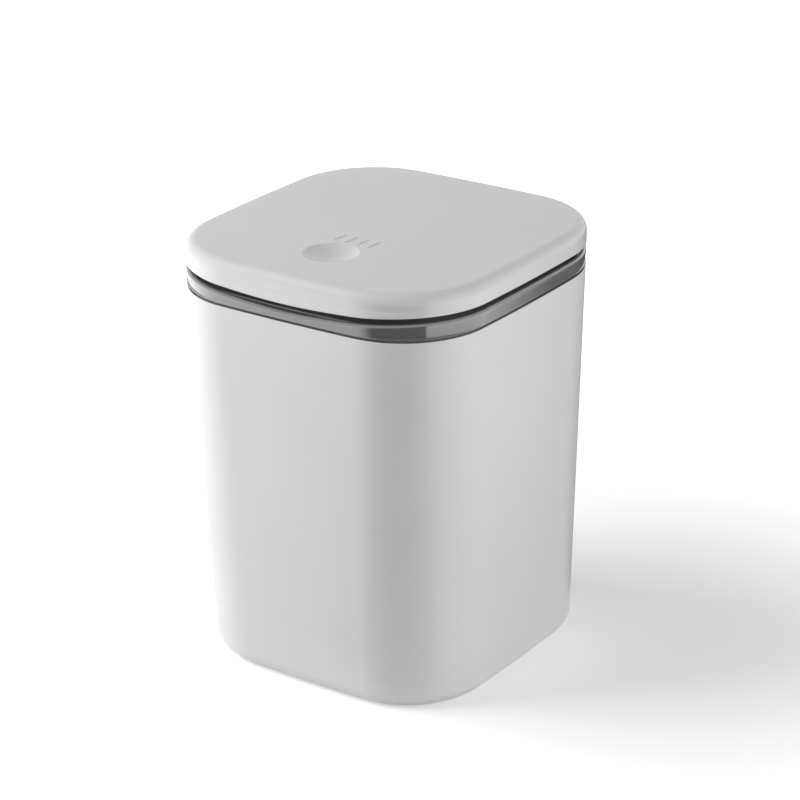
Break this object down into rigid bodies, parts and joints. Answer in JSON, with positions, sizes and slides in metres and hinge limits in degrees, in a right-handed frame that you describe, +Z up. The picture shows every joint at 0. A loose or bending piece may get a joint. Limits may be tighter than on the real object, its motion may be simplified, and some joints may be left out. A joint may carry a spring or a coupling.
{
  "type": "push top countertop bin",
  "caption": "Square countertop bin with rounded corners, a tapered body, a grey top ring and a hinged lid that is pressed to open and close.",
  "frame": {"origin": "middle of the base, on the surface that the bin stands on", "axes": "+Z up, -Y towards the front, where the lid is pressed, and +X to the right seen from the front"},
  "size_m": [0.135, 0.1349, 0.175],
  "materials": {
    "body_plastic": "satin moulded plastic, light grey",
    "lid_plastic": "satin moulded plastic, light grey",
    "band_plastic": "glossy moulded plastic, mid grey",
    "liner_plastic": "fine matt texture, light grey",
    "latch_white": "natural white acetal",
    "latch_dark": "dark grey moulded plastic",
    "steel": "zinc plated steel",
    "spring_steel": "drawn spring wire"
  },
  "bodies": {
    "bin": {"bin_body": "body_plastic"},
    "top": {"top_ring": "band_plastic", "hinge_pin": "steel", "lid_spring_left": "spring_steel", "lid_spring_right": "spring_steel", "latch_case": "latch_dark", "latch_cover": "latch_dark", "latch_screws": "steel", "latch_spring": "spring_steel", "latch_cam_pin": "spring_steel"},
    "lid": {"lid_shell": "lid_plastic", "lid_liner": "liner_plastic", "liner_screws": "steel", "lid_striker": "latch_white", "striker_screws": "steel"},
    "slider": {"latch_slider": "latch_white", "claw_pin_left": "steel", "claw_pin_right": "steel"},
    "claw_left": {"latch_claw_left": "latch_white"},
    "claw_right": {"latch_claw_right": "latch_white"}
  },
  "joints": [
    {"name": "top_lift", "type": "slide", "parent": "bin", "child": "top", "axis": [0, 0, 1], "range_m": [0, 0.045]},
    {"name": "lid_hinge", "type": "hinge", "parent": "top", "child": "lid", "pos_m": [0, 0.06145, 0.1663], "axis": [-1, 0, 0], "range_deg": [-1, 85], "deforming": ["lid_spring_left", "lid_spring_right"]},
    {"name": "latch_slide", "type": "slide", "parent": "top", "child": "slider", "axis": [0, 0, 1], "range_m": [0, 0.0045], "deforming": ["latch_spring"]},
    {"name": "claw_left_pivot", "type": "hinge", "parent": "slider", "child": "claw_left", "pos_m": [-0.0049, -0.053, 0.15305], "axis": [0, -1, 0], "range_deg": [0, 22]},
    {"name": "claw_right_pivot", "type": "hinge", "parent": "slider", "child": "claw_right", "pos_m": [0.0049, -0.053, 0.15305], "axis": [0, 1, 0], "range_deg": [0, 22]}
  ],
  "couplings": [
    {"joint": "claw_left_pivot", "follows": "latch_slide", "rad_per_m": 85.3},
    {"joint": "claw_right_pivot", "follows": "latch_slide", "rad_per_m": 85.3}
  ]
}
